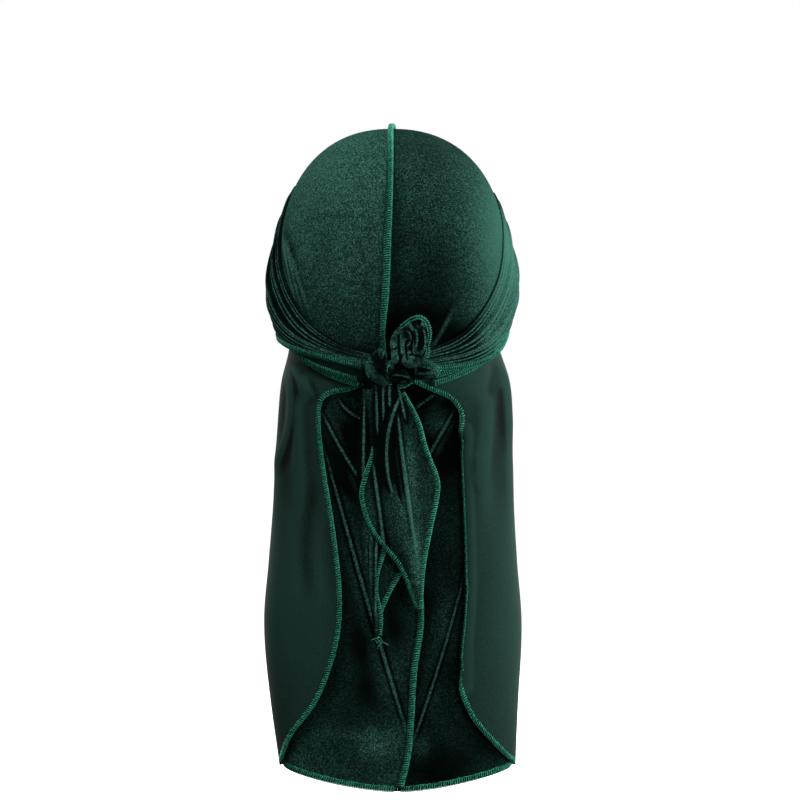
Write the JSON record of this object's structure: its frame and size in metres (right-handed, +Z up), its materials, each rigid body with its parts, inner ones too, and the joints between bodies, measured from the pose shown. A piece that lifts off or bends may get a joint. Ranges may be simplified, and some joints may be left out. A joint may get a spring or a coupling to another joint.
{
  "type": "durag",
  "caption": "Velvet durag tied at the nape: cap with a raised centre seam, wide pleated straps, a knot with hanging ends and a long flap with folded-back margins.",
  "frame": {"origin": "top of the head at the inside of the cap, where the cap sits on the head", "axes": "+Z up, -Y the way the wearer faces, +Y towards the knot and the flap, +X the wearer's left"},
  "size_m": [0.1789, 0.2178, 0.4589],
  "materials": {
    "velvet": "deep green stretch velvet with a soft sheen, matte knit on its wrong side",
    "velvet_strap": "deep green stretch velvet, gathered and pleated",
    "overlock_thread": "bright green overlock thread over the cut edges of the velvet"
  },
  "bodies": {
    "root": {"panel_left": "velvet", "panel_right": "velvet", "centre_seam": "overlock_thread", "strap_root_left": "velvet_strap", "strap_root_right": "velvet_strap", "strap_left": "velvet_strap", "strap_right": "velvet_strap", "knot_left": "velvet_strap", "knot_right": "velvet_strap", "knot_loop": "velvet_strap", "strap_end_long": "velvet_strap", "strap_end_short": "velvet_strap"}
  },
  "joints": []
}
